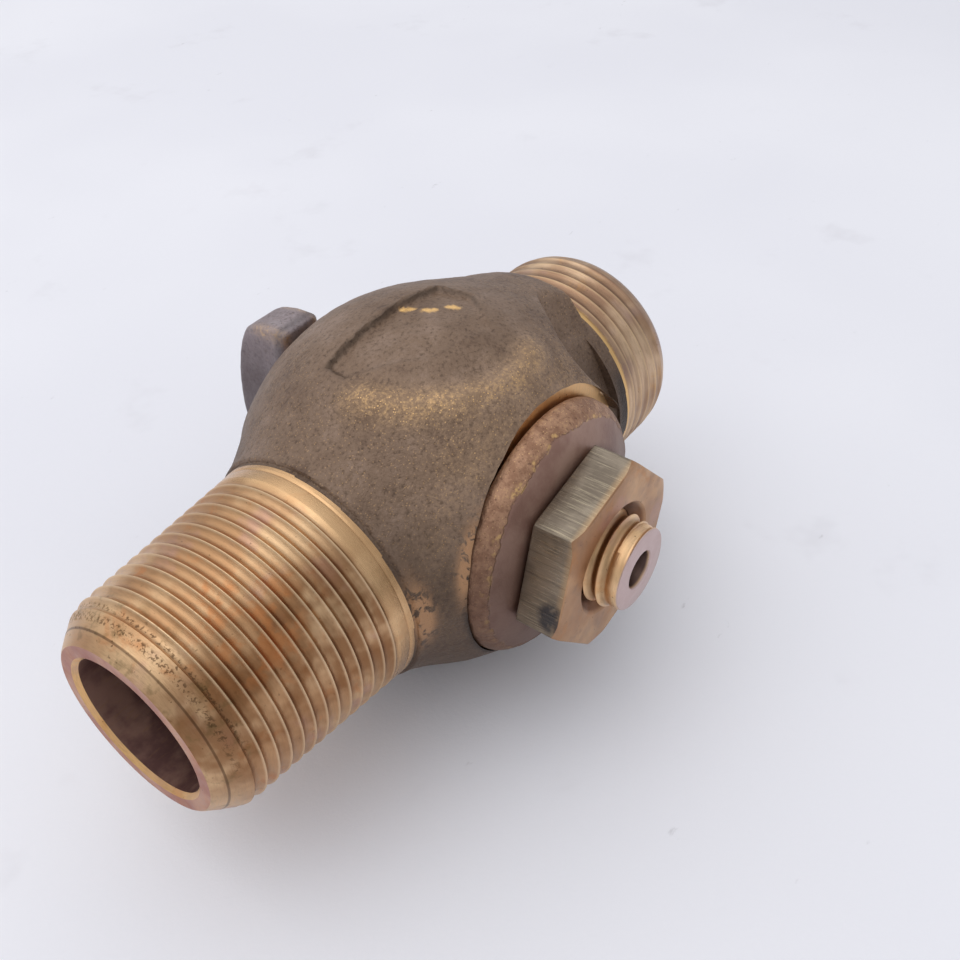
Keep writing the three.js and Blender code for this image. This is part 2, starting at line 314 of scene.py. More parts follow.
def surface_net(distance, low, high, step):
    """Points and quads near the surface where distance(points) is zero."""
    axes = [np.arange(a, b + step, step) for a, b in zip(low, high)]
    shape = tuple(len(a) for a in axes)
    grid = np.stack(np.meshgrid(*axes, indexing="ij"), 3).reshape(-1, 3)
    value = distance(grid).reshape(shape)
    inside = value < 0
    total = np.zeros(tuple(n - 1 for n in shape) + (3,))
    count = np.zeros(tuple(n - 1 for n in shape))
    crossings = []
    for axis in range(3):
        near = [slice(None)] * 3
        far = [slice(None)] * 3
        near[axis] = slice(None, -1)
        far[axis] = slice(1, None)
        a = value[tuple(near)]
        b = value[tuple(far)]
        found = np.argwhere(inside[tuple(near)] != inside[tuple(far)])
        here = tuple(found.T)
        share = a[here] / (a[here] - b[here])
        spot = found.astype(float)
        spot[:, axis] += share
        others = [k for k in range(3) if k != axis]
        for i in (0, 1):
            for j in (0, 1):
                cell = found.copy()
                cell[:, others[0]] -= i
                cell[:, others[1]] -= j
                np.add.at(total, tuple(cell.T), spot)
                np.add.at(count, tuple(cell.T), 1)
        crossings.append((axis, found, inside[tuple(near)][here]))
    used = count > 0
    number = np.full(used.shape, -1)
    number[used] = np.arange(used.sum())
    points = total[used] / count[used][:, None] * step + np.array([a[0] for a in axes])
    quads = []
    for axis, found, entering in crossings:
        others = [(axis + 1) % 3, (axis + 2) % 3]
        ring = []
        for i, j in ((0, 0), (1, 0), (1, 1), (0, 1)):
            cell = found.copy()
            cell[:, others[0]] -= i
            cell[:, others[1]] -= j
            ring.append(number[tuple(cell.T)])
        quad = np.stack(ring, 1)
        quads.append(np.where(entering[:, None], quad, quad[:, ::-1]))
    return points, np.concatenate(quads)


def towards_surface(points, distance):
    """One Newton step onto the surface where distance(points) is zero."""
    reach = 0.02
    here = distance(points)
    gradient = np.stack([
        distance(points + reach * np.eye(3)[axis]) - distance(points - reach * np.eye(3)[axis])
        for axis in range(3)
    ], 1) / (2 * reach)
    length = np.maximum((gradient ** 2).sum(1), 0.2)
    return points - gradient * (here / length)[:, None]


def shape_from(name, distance, low, high, step):
    """A closed mesh of the shape inside which distance(points) is negative."""
    points, quads = surface_net(distance, low, high, step)
    obj = mesh_object(name, points, quads)
    remesh = obj.modifiers.new("even", "REMESH")
    remesh.mode = "VOXEL"
    remesh.voxel_size = step * MM
    apply_modifiers(obj)
    points = points_of(obj)
    for _ in range(3):
        points = towards_surface(points, distance)
    set_points(obj, points)
    face_outwards(obj)
    return obj


def rough(points, scale, seed, octaves=3):
    """Smooth noise from -1 to 1 at each point, with features of about scale millimetres."""
    shift = Vector((seed * 17.3, seed * 5.1, seed * 9.7))
    return np.array([
        noise.fractal(Vector(p) / scale + shift, 1.0, 2.0, octaves) for p in points
    ])


def bump(value, width):
    """A smooth hill of height 1 round zero."""
    return np.exp(-(value / width) ** 2)


def ramp(value, start, end):
    """0 before start and 1 after end, with a smooth turn between them."""
    share = np.clip((value - start) / (end - start), 0, 1)
    return share * share * (3 - 2 * share)


# ---- Casting of the body -------------------------------------------------------------------

# Corners of the name pad as (x, y), and the body between its threads as (x, radius).
PAD_CORNERS = np.array([
    (-11.9, 5.4), (7.8, 3.6), (8.8, -1.6), (3.5, -8.1), (-5.7, -6.0), (-12.6, 1.6),
])
BARREL = np.array([
    (-30.0, 16.2), (-24.4, 16.6), (-22.0, 17.4), (-18.0, 19.2),
    (-14.4, 21.4), (-8.2, 24.0), (0.0, 24.8), (5.0, 24.5),
    (8.5, 23.9), (11.8, 23.1), (15.6, 22.0), (19.6, 20.7),
    (23.2, 19.5), (25.3, 18.6), (26.2, 18.0), (30.0, 17.0),
])
BARREL_MIDDLE = 1.0
BARREL_HALF_LENGTH = 24.6
RIDGE_HEIGHT = 0.75
RIDGE_WIDTH = 1.7
RIDGE_RADIUS = 14.3
RIDGE_START = math.radians(170)
RIDGE_END = math.radians(315)


def inside_pad(points):
    """Distance inside the outline of the name pad, negative outside it."""
    depth = np.full(len(points), 1e3)
    for corner, beyond in zip(PAD_CORNERS, np.roll(PAD_CORNERS, -1, 0)):
        along = (beyond - corner) / np.linalg.norm(beyond - corner)
        inward = np.array([along[1], -along[0]])
        depth = np.minimum(depth, (points[:, :2] - corner) @ inward)
    return np.where(points[:, 2] > 0, depth, -10.0)


def pad_depth(points):
    """How deep the name pad is sunk: most along its far edge, and flush at its near edge."""
    across = ramp(points[:, 1] + 0.09 * points[:, 0], -9.0, 4.0)
    return ramp(inside_pad(points), -0.15, 0.55) * (0.12 + 0.75 * across)


def ridge_height(points):
    """The worn ridge that runs round the near side of the name pad."""
    radius = np.hypot(points[:, 0], points[:, 1])
    angle = np.arctan2(points[:, 1], points[:, 0]) % (2 * math.pi)
    ends = ramp(angle, RIDGE_START, RIDGE_START + 0.35) * (1 - ramp(angle, RIDGE_END - 0.5, RIDGE_END))
    return np.where(points[:, 2] > 8, ends * bump(radius - RIDGE_RADIUS, RIDGE_WIDTH), 0)


def casting_distance(points):
    """Rough distance outside the cast body: ball, barrel, rim, pad, ridge, wrench flats and reliefs."""
    x, y, z = points.T
    about_flow = np.hypot(y, z)
    ball = np.linalg.norm(points, axis=1) - BULB_RADIUS
    barrel = (about_flow - np.interp(x, BARREL[:, 0], BARREL[:, 1])) * 0.88
    barrel = np.maximum(barrel, np.abs(x - BARREL_MIDDLE) - BARREL_HALF_LENGTH)
    shape = soft_union(ball, barrel, 2.6)
    swell = bump((np.arctan2(z, x) - RIM_SWELL_ANGLE), 0.38)
    rim = np.maximum(np.hypot(x, z) - RIM_RADIUS - RIM_SWELL * swell, np.abs(y - 17) - 4.3)
    shape = soft_union(shape, rim, 0.8)
    shape = shape - RIDGE_HEIGHT * ridge_height(points) + pad_depth(points)
    for side in (1, -1):
        facing = side * (y * math.cos(FLAT_ANGLE) + z * math.sin(FLAT_ANGLE))
        across = side * (y * math.sin(FLAT_ANGLE) - z * math.cos(FLAT_ANGLE))
        floor = FLAT_LOW + (FLAT_HIGH - FLAT_LOW) * ramp(across, -7.0, 3.0) - facing
        aside = across - FLAT_WALL_MIDDLE
        wall = FLAT_WALL + np.where(aside > 0, 0.09, 0.045) * aside**2
        flat = soft_common(floor, (wall - x) * 0.8 - 0.25 * (facing - FLAT_LOW), 0.9)
        relief = soft_common(RELIEF_DISTANCE + side * y, RELIEF_START - x, 0.9)
        shape = soft_common(shape, -soft_union(flat, relief, 0.9), 0.7)
    return soft_common(shape, y - RIM_FACE, 0.6)


def casting():
    """The cast outside of the body, closed, with its sandy skin."""
    obj = shape_from("casting", casting_distance, (-28.0, -27.0, -27.0), (30.0, 22.4, 27.0), 0.45)
    points = points_of(obj)
    normals = normals_of(obj)
    sandy = (np.abs(points[:, 0] - BARREL_MIDDLE) < 24.0) & (points[:, 1] < RIM_FACE - 0.4)
    worn = ramp(inside_pad(points), 0.4, 1.6)
    skin = 0.10 * rough(points, 9.0, 1, 2) + (0.07 + 0.05 * worn) * rough(points, 2.2, 2, 3)
    set_points(obj, points + normals * (skin * sandy)[:, None])
    return obj


# ---- Body ----------------------------------------------------------------------------------

def inlet_crest(x):
    return INLET_BIG_RADIUS + INLET_TAPER * (x - INLET_BIG_END)


def inlet_depth(x):
    return INLET_DEPTH * (1 - ramp(x, COLLAR_START - 0.6, COLLAR_START + 0.9))


def outlet_depth(x):
    return OUTLET_DEPTH * (1 - ramp(-x, -OUTLET_START - 1.4, -OUTLET_START - 0.4))


def inlet_thread():
    """The long tapered thread, cut to its bevel at the mouth and its collar at the casting."""
    thread = screw("inlet", "X", INLET_END - 1, -22.0, INLET_PITCH, inlet_crest, inlet_depth)
    envelope = turned("envelope", [
        [0, INLET_END], [11.75, INLET_END], [12.0, INLET_END + 0.2], [13.0, -51.35],
        [13.12, -51.2], [13.18, -51.05], [14.15, -49.75], [14.55, -48.9], [14.75, -47.6],
        [inlet_crest(-46.0) + 0.02, -46.0], [inlet_crest(COLLAR_START) + 0.02, COLLAR_START],
        [inlet_crest(-26.5) - 0.02, -26.5], [inlet_crest(-25.2) - 0.02, -25.2],
        [inlet_crest(-24.9) - 0.12, -24.9], [inlet_crest(-24.6) + 0.02, -24.6],
        [inlet_crest(-20.0), -20.0], [0, -20.0],
    ], "X", 192)
    return combine(thread, envelope, "INTERSECT")


def outlet_thread():
    """The short straight thread, rounded at its nose."""
    thread = screw("outlet", "X", OUTLET_START - 1, OUTLET_END, OUTLET_PITCH,
                   everywhere(OUTLET_RADIUS), outlet_depth)
    outline = [[0, 20.0], [OUTLET_RADIUS + 0.02, 20.0]]
    for angle in np.radians(np.linspace(0, 90, 7)):
        outline.append([
            OUTLET_RADIUS - NOSE_REACH + NOSE_REACH * math.cos(angle),
            OUTLET_END - NOSE_LENGTH + NOSE_LENGTH * math.sin(angle),
        ])
    outline.append([0, OUTLET_END])
    return combine(thread, turned("envelope", outline, "X", 192), "INTERSECT")


def plug_radius(y):
    return PLUG_RADIUS + PLUG_TAPER * y


def cut_disc(body, radius, shift):
    """Faces the boss flat over a disc, which may be off the axis of the key."""
    start = BOSS_FACE - 9
    disc = turned("disc", [[0, start], [radius, start], [radius, BOSS_FACE], [0, BOSS_FACE]], "Y", 192)
    aside = shift * np.array([math.cos(SPOT_FACE_ANGLE), 0, math.sin(SPOT_FACE_ANGLE)])
    set_points(disc, points_of(disc) + aside)
    combine(body, disc, "DIFFERENCE")


def valve_body():
    """The casting with its threads, then everything that is machined into it."""
    body = casting()
    combine(body, block("rim_cut", (80, 10, 80), (0, RIM_CUT + 5, 0)), "DIFFERENCE")
    combine(body, inlet_thread(), "UNION")
    combine(body, outlet_thread(), "UNION")
    cut_disc(body, SPOT_FACE_RADIUS, SPOT_FACE_SHIFT)
    cut_disc(body, WASHER_RADIUS + 0.2, 0.0)
    inlet = turned("inlet_bore", [
        [0, INLET_END - 1], [BORE_RADIUS + MOUTH_CHAMFER + 1, INLET_END - 1],
        [BORE_RADIUS, INLET_END + MOUTH_CHAMFER], [BORE_RADIUS, -16.0], [0, -16.0],
    ], "X", 128)
    combine(body, inlet, "DIFFERENCE")
    outlet = turned("outlet_bore", [
        [0, 16.0], [BORE_RADIUS, 16.0], [BORE_RADIUS, OUTLET_END - 2.6],
        [FLARE_RADIUS + 1, OUTLET_END + 1], [0, OUTLET_END + 1],
    ], "X", 128)
    combine(body, outlet, "DIFFERENCE")
    combine(body, block("slot", BODY_SLOT, (0, 0, 0)), "DIFFERENCE")
    seat = turned("seat", [
        [0, BOSS_FACE - 3], [plug_radius(BOSS_FACE - 3) + SEAT_GAP, BOSS_FACE - 3],
        [plug_radius(RIM_FACE + 3) + SEAT_GAP, RIM_FACE + 3], [0, RIM_FACE + 3],
    ], "Y", 128)
    combine(body, seat, "DIFFERENCE")
    body.name = "body_looks"
    return body


# ---- Key, washer and nut -------------------------------------------------------------------

# Top edge of the tee head as (distance from the key's axis, y).
TEE_ARCH = np.array([
    (0.0, 34.5), (2.0, 34.4), (5.8, 33.9), (9.1, 33.0),
    (11.9, 31.9), (14.4, 30.6), (15.4, 29.6), (17.0, 26.4),
])


def tee_distance(points):
    """Rough distance outside the arched bar of the tee head and the neck under it."""
    x, y, z = points.T
    arch = (y - np.interp(np.abs(z), TEE_ARCH[:, 0], TEE_ARCH[:, 1])) * 0.9
    side = np.abs(z) - TEE_HALF_WIDTH - 0.03 * (22 - y)
    outline = soft_common(arch, side, 2.6)
    outline = soft_common(outline, 22.1 - y, 0.6)
    bar = soft_common(outline, np.abs(x) - TEE_HALF_THICKNESS + 0.02 * (y - 28), 1.3)
    neck = np.maximum(np.hypot(x, z) - 10.6, np.abs(y - 22.5) - 0.9)
    return soft_union(bar, neck, 1.6)


def key_plug():
    """Tee head, tapered plug with its slot, D-shaped shank and threaded stem, all in one."""
    key = shape_from("key", tee_distance, (-12, 20.5, -18), (12, 35.7, 18), 0.4)
    points = points_of(key)
    skin = 0.07 * rough(points, 5.0, 4, 2) + 0.045 * rough(points, 1.8, 5, 3)
    inward = np.minimum(skin, 0.02)
    set_points(key, points + normals_of(key) * inward[:, None])
    plug = turned("plug", [
        [0, SHANK_END], [SHANK_RADIUS - 0.25, SHANK_END], [SHANK_RADIUS, SHANK_END + 0.25],
        [SHANK_RADIUS, PLUG_BOTTOM], [plug_radius(PLUG_BOTTOM) - SEAT_GAP - 0.4, PLUG_BOTTOM],
        [plug_radius(PLUG_BOTTOM + 0.4) - SEAT_GAP, PLUG_BOTTOM + 0.4],
        [plug_radius(PLUG_TOP) - SEAT_GAP, PLUG_TOP],
        [plug_radius(PLUG_TOP) - 0.7, PLUG_TOP + 0.55],
        [plug_radius(PLUG_TOP) - 1.3, PLUG_TOP + 0.8], [0, PLUG_TOP + 0.8],
    ], "Y", 160)
    combine(key, plug, "UNION")
    combine(key, stem(), "UNION")
    combine(key, block("slot", KEY_SLOT, (0, 0, 0)), "DIFFERENCE")
    shank = (PLUG_BOTTOM + SHANK_END) / 2
    length = PLUG_BOTTOM - SHANK_END + 0.02
    combine(key, block("flat", (8, length, 20), (-SHANK_FLAT - 4, shank, 0)), "DIFFERENCE")
    hole = turned("centre", [
        [0, STEM_END - 1], [2.75, STEM_END - 1], [2.75, STEM_END - 0.01],
        [2.4, STEM_END + 0.45], [2.3, STEM_END + 6.0], [0, STEM_END + 7.4],
    ], "Y", 64)
    combine(key, hole, "DIFFERENCE")
    key.name = "key_looks"
    return key


def stem():
    """The threaded end of the key, with a thinner lead at its tip that the nut can pass."""
    thread = screw("stem", "Y", STEM_END, SHANK_END + 1, STEM_PITCH,
                   everywhere(STEM_RADIUS - 0.1), everywhere(STEM_THREAD_DEPTH), 96)
    envelope = turned("envelope", [
        [0, STEM_END], [LEAD_RADIUS - 0.3, STEM_END], [LEAD_RADIUS - 0.1, STEM_END + 0.1],
        [LEAD_RADIUS, STEM_END + 0.35], [LEAD_RADIUS, STEM_END + 1.75],
        [STEM_RADIUS - 0.12, STEM_END + 2.25], [STEM_RADIUS - 0.12, SHANK_END + 0.5],
        [0, SHANK_END + 0.5],
    ], "Y", 144)
    return combine(thread, envelope, "INTERSECT")


def key_washer():
    """A crowned disc with a sandy cast rim, and the D-shaped hole for the shank."""
    front = WASHER_BACK - WASHER_CROWN
    outline = [
        (0, 0), (17.3, 0), (17.65, 0.2), (WASHER_RADIUS, 0.6), (17.7, 1.3), (17.5, 2.0), (17.2, 2.5),
        (16.85, 2.95), (16.55, 3.25), (16.3, 3.42), (15.9, 3.58), (15.0, 3.9), (14.1, 4.3),
        (13.3, 4.65), (12.6, 4.9), (11.9, WASHER_CROWN - 0.06), (11.0, WASHER_CROWN),
        (9.0, WASHER_CROWN), (0, WASHER_CROWN),
    ]
    washer = turned("washer", [(radius, WASHER_BACK - rise) for radius, rise in outline], "Y", 256)
    points = points_of(washer)
    normals = normals_of(washer)
    outer = ramp(np.hypot(points[:, 0], points[:, 2]), 15.6, 16.4) * (points[:, 1] < WASHER_BACK - 0.3)
    skin = 0.09 * rough(points, 4.5, 7, 2) + 0.06 * rough(points, 1.5, 8, 3)
    set_points(washer, points + normals * (np.minimum(skin, 0.03) * outer)[:, None])
    hole = turned("hole", [
        [0, front - 1], [SHANK_RADIUS + SHANK_GAP, front - 1],
        [SHANK_RADIUS + SHANK_GAP, WASHER_BACK + 1], [0, WASHER_BACK + 1],
    ], "Y", 128)
    side = block("side", (8, 20, 30), (-SHANK_FLAT - SHANK_GAP - 4, WASHER_BACK, 0))
    combine(hole, side, "DIFFERENCE")
    combine(washer, hole, "DIFFERENCE")
    washer.name = "washer_looks"
    return washer


def key_nut():
    """A hexagon nut: turned front chamfer, softened edges, countersink and a real thread inside."""
    corner = NUT_ACROSS_FLATS / math.sqrt(3)
    angles = NUT_TURN + np.radians(60) * np.arange(6)
    ring = np.stack([corner * np.cos(angles), np.zeros(6), corner * np.sin(angles)], 1)
    points = np.concatenate([ring + [0, NUT_FRONT, 0], ring + [0, NUT_BACK, 0]])
    faces = [tuple(range(6)), tuple(range(11, 5, -1))]
    faces += [(i, i + 6, (i + 1) % 6 + 6, (i + 1) % 6) for i in range(6)]
    nut = mesh_object("nut", points, faces)
    face_outwards(nut)
    bevel = nut.modifiers.new("edges", "BEVEL")
    bevel.width = 0.22 * MM
    bevel.segments = 3
    blank = turned("blank", [
        [0, NUT_FRONT], [corner - 1.55, NUT_FRONT], [corner - 1.1, NUT_FRONT + 0.1],
        [corner - 0.45, NUT_FRONT + 0.42], [corner + 0.6, NUT_FRONT + 1.2],
        [corner + 0.6, NUT_BACK - 0.5], [corner - 0.4, NUT_BACK], [0, NUT_BACK],
    ], "Y", 192)
    combine(nut, blank, "INTERSECT")
    sink = turned("sink", [
        [0, NUT_FRONT - 1], [8.9, NUT_FRONT - 1], [7.9, NUT_FRONT - 0.02],
        [7.55, NUT_FRONT + 0.25], [6.4, NUT_FRONT + 1.4], [5.75, NUT_FRONT + 1.9],
        [5.75, NUT_BACK - 0.9], [6.7, NUT_BACK + 0.1], [6.7, NUT_BACK + 1], [0, NUT_BACK + 1],
    ], "Y", 144)
    combine(nut, sink, "DIFFERENCE")
    thread = screw("inside", "Y", NUT_FRONT - 4, NUT_BACK + 4, STEM_PITCH,
                   everywhere(STEM_RADIUS + STEM_THREAD_GAP), everywhere(STEM_THREAD_DEPTH), 96)
    turn_to_match(thread, NUT_FRONT - 4, STEM_END, STEM_PITCH)
    combine(nut, thread, "DIFFERENCE")
    nut.name = "nut_looks"
    return nut


def turn_to_match(obj, start, other_start, pitch):
    """Turns a screw about Y so that its crests line up with one that starts elsewhere."""
    turn = 2 * math.pi * ((other_start - start) / pitch)
    x, y, z = points_of(obj).T
    cos = math.cos(turn)
    sin = math.sin(turn)
    set_points(obj, np.stack([x * cos - z * sin, y, x * sin + z * cos], 1))


# ---- Material recipes ----------------------------------------------------------------------

ORANGE_PLACE = (-41.0, -8.5, 12.0)
FIRST_PITS = -50.15
SECOND_PITS = -48.75
BEVEL_LINE = -51.3
STAIN_PLACE = (-12.2, -28.3, -0.9)


def paint(red, green, blue):
    """A screen colour from 0 to 255 as the linear colour that nodes use."""
    return tuple((c / 255) ** 2.2 for c in (red, green, blue)) + (1.0,)


def darker(colour, share):
    return tuple(part * share for part in colour[:3]) + (1.0,)


class Recipe:
    """Builds the node tree of one material. Lengths are millimetres on the drawing axes."""

    def __init__(self, name, metal=1.0):
        self.material = bpy.data.materials.new(name)
        self.material.use_nodes = True
        self.tree = self.material.node_tree
        self.shader = self.tree.nodes["Principled BSDF"]
        self.shader.inputs["Metallic"].default_value = metal
        whole = self.node("TexCoord", {}).outputs["Object"]
        self.place = self.vector("SUBTRACT", self.vector("SCALE", whole, scale=1 / MM), tuple(CROSSING))
        self.x, self.y, self.z = self.node("SeparateXYZ", {0: self.place}).outputs

    def plug(self, socket, value):
        if isinstance(value, bpy.types.NodeSocket):
            self.tree.links.new(value, socket)
        else:
            socket.default_value = value

    def node(self, kind, inputs, **settings):
        """A new node with its settings, and its inputs from numbers or from other nodes."""
        made = self.tree.nodes.new("ShaderNode" + kind)
        for name, value in settings.items():
            setattr(made, name, value)
        for name, value in inputs.items():
            if value is not None:
                self.plug(made.inputs[name], value)
        return made

    def vector(self, operation, a, b=None, scale=None):
        return self.node("VectorMath", {0: a, 1: b, "Scale": scale}, operation=operation).outputs[0]

    def math(self, operation, a, b=None):
        return self.node("Math", {0: a, 1: b}, operation=operation).outputs[0]

    def both(self, a, b):
        return self.math("MULTIPLY", a, b)

    def sum(self, a, b):
        return self.math("ADD", a, b)

    def most(self, a, b):
        return self.math("MAXIMUM", a, b)

    def near(self, value, centre, start, end):
        """1 within end of a centre and 0 beyond start."""
        return self.span(self.math("ABSOLUTE", self.sum(value, -centre)), start, end)

    def radius(self, a, b):
        return self.math("SQRT", self.sum(self.both(a, a), self.both(b, b)))

    def span(self, value, start, end, low=0.0, high=1.0):
        """Low before start and high after end, with a smooth turn between them."""
        inputs = dict(enumerate((value, start, end, low, high)))
        return self.node("MapRange", inputs, interpolation_type="SMOOTHSTEP").outputs[0]

    def noise(self, size, detail=3.0, rough=0.5, stretch=(1, 1, 1), shift=0.0, warp=0.0):
        """Noise from 0 to 1 with features of about size millimetres, longer along stretched axes."""
        place = self.vector("MULTIPLY", self.place, tuple(1 / (size * s) for s in stretch))
        if shift:
            place = self.vector("ADD", place, (shift, shift * 1.7, shift * 2.3))
        inputs = {"Scale": 1.0, "Detail": detail, "Roughness": rough, "Distortion": warp}
        return self.node("TexNoise", {"Vector": place} | inputs).outputs["Fac"]

    def grains(self, size, shift=0.0):
        """Distance from the nearest of scattered grains, and a random number for each grain."""
        place = self.vector("ADD", self.place, (shift, shift, shift))
        made = self.node("TexVoronoi", {"Vector": place, "Scale": 1 / size})
        return made.outputs["Distance"], made.outputs["Color"]

    def mix(self, share, a, b):
        made = self.node("Mix", {"Factor": share}, data_type="RGBA")
        colours = [s for s in made.inputs if s.type == "RGBA"]
        self.plug(colours[0], a)
        self.plug(colours[1], b)
        return [s for s in made.outputs if s.type == "RGBA"][0]

    def tint(self, colour, mask, share, over):
        """Lays a colour over another where a mask is 1, to the given share."""
        return self.mix(self.both(mask, share), colour, over)

    def attribute(self, name):
        return self.node("Attribute", {}, attribute_name=name).outputs["Fac"]

    def spot(self, centre, size):
        """1 at a place and 0 further from it than size."""
        away = self.vector("SUBTRACT", self.place, centre)
        length = self.node("VectorMath", {0: away}, operation="LENGTH").outputs["Value"]
        return self.span(length, size * 0.55, size, 1.0, 0.0)

    def relief(self, height, depth):
        """Bump of the given depth in millimetres."""
        inputs = {"Strength": 1.0, "Distance": depth * MM, "Height": height}
        return self.node("Bump", inputs).outputs["Normal"]

    def finish(self, colour, roughness, normal):
        self.plug(self.shader.inputs["Base Color"], colour)
        self.plug(self.shader.inputs["Roughness"], roughness)
        self.plug(self.shader.inputs["Normal"], normal)
        return self.material


def cast_skin(name, dark, middle, light, golden):
    """Sand-cast, tarnished bronze with golden grains where its skin is rubbed, and painted shade lower
    down and in creases.
    """
    m = Recipe(name)
    broad = m.noise(11.0, 3.0, 0.5)
    patchy = m.noise(2.6, 4.0, 0.6, shift=3.1)
    fine = m.noise(0.5, 3.0, 0.65, shift=7.7)
    rubbed_and_highlight = m.attribute("rubbed_and_highlight")
    tone = m.sum(m.both(broad, 0.5), m.sum(m.both(patchy, 0.25), m.both(fine, 0.25)))
    colour = m.mix(m.span(tone, 0.38, 0.52), dark, middle)
    colour = m.mix(m.span(tone, 0.50, 0.64), colour, light)
    colour = m.tint(colour, m.span(fine, 0.46, 0.30), 0.6, darker(dark, 0.55))
    distance, cell = m.grains(0.30)
    lively = m.sum(m.both(rubbed_and_highlight, 0.75), m.both(m.attribute("sandy"), 0.30))
    grain = m.both(m.both(m.span(distance, 0.36, 0.16), m.span(cell, 0.52, 0.68)), lively)
    rub = m.both(rubbed_and_highlight, m.span(m.sum(m.both(patchy, 0.5), fine), 0.68, 0.98))
    golden_share = m.most(grain, m.both(rub, 0.5))
    m.plug(m.shader.inputs["Metallic"], m.span(golden_share, 0.0, 0.8, 0.38, 1.0))
    # Golden where rubbed. Along the tee head's end edges this gold is also a painted highlight.
    colour = m.tint(colour, rubbed_and_highlight, 0.42, m.mix(0.35, light, golden))
    colour = m.mix(golden_share, colour, golden)
    # Painted shade: the casting is darkened towards the bottom, where less light falls.
    colour = m.tint(colour, m.span(m.z, 19.0, 3.0), 0.66, darker(dark, 0.42))
    # Painted shade in creases, recesses and gaps between parts, from the attribute read here.
    colour = m.mix(m.attribute("painted_shade"), colour, darker(dark, 0.20))
    roughness = m.span(golden_share, 0.0, 1.0, 0.50, 0.28)
    height = m.sum(m.both(fine, 0.6), m.both(m.noise(0.24, 2.0, 0.6, shift=1.3), 0.4))
    height = m.both(height, m.span(m.attribute("sandy"), 0, 1, 0.35, 1.0))
    normal = m.relief(height, 0.26)
    return m, colour, roughness, normal


def body_skin():
    """The body's casting, with torn patches and three golden spots beside the name pad."""
    m, colour, roughness, normal = cast_skin(
        "cast_bronze", paint(101, 79, 64), paint(126, 103, 85), paint(143, 120, 104),
        paint(228, 184, 128))
    ragged = m.span(m.noise(1.3, 3.0, 0.6, shift=60.0, warp=0.5), 0.40, 0.50)
    torn = m.both(m.attribute("torn"), ragged)
    colour = m.tint(colour, torn, 0.75, paint(190, 144, 104))
    shine = m.attribute("shine")
    colour = m.mix(shine, colour, paint(252, 200, 124))
    return m.finish(colour, m.both(roughness, m.span(shine, 0, 1, 1.0, 0.45)), normal)


def tee_skin():
    """The greyer casting of the tee head."""
    m, colour, roughness, normal = cast_skin(
        "key_head_bronze", paint(118, 103, 104), paint(142, 129, 131), paint(164, 152, 154),
        paint(224, 182, 128))
    return m.finish(colour, roughness, normal)


def turned_bronze(name, pale, deep, orange, pink, along="x", groove=0.16):
    """Lathe-turned bronze: fine rings round its axis, with orange, pink and dark stains."""
    m = Recipe(name)
    stretch = (1, 9, 9) if along == "x" else (9, 1, 9)
    rings = m.noise(groove, 3.0, 0.7, stretch)
    fine_rings = m.noise(groove * 0.35, 2.0, 0.6, stretch, shift=2.0)
    broad = m.noise(11.0, 3.0, 0.55, shift=4.0)
    blotch = m.noise(4.2, 4.0, 0.6, shift=9.0, warp=0.6)
    colour = m.mix(m.span(broad, 0.38, 0.62), pale, deep)
    colour = m.tint(colour, m.span(blotch, 0.56, 0.72), 0.5, orange)
    colour = m.tint(colour, m.span(m.noise(6.0, 3.0, 0.5, shift=15.0), 0.54, 0.70), 0.6, pink)
    colour = m.tint(colour, m.span(rings, 0.55, 0.35), 0.22, darker(deep, 0.5))
    specks = m.span(m.noise(0.5, 2.0, 0.5, shift=21.0), 0.70, 0.76)
    colour = m.tint(colour, specks, 0.5, paint(60, 46, 36))
    roughness = m.sum(m.span(rings, 0.3, 0.7, 0.30, 0.42), m.span(blotch, 0.5, 0.75, 0.0, 0.10))
    height = m.sum(m.both(rings, 0.6), m.both(fine_rings, 0.4))
    return m, colour, roughness, m.relief(height, 0.035)


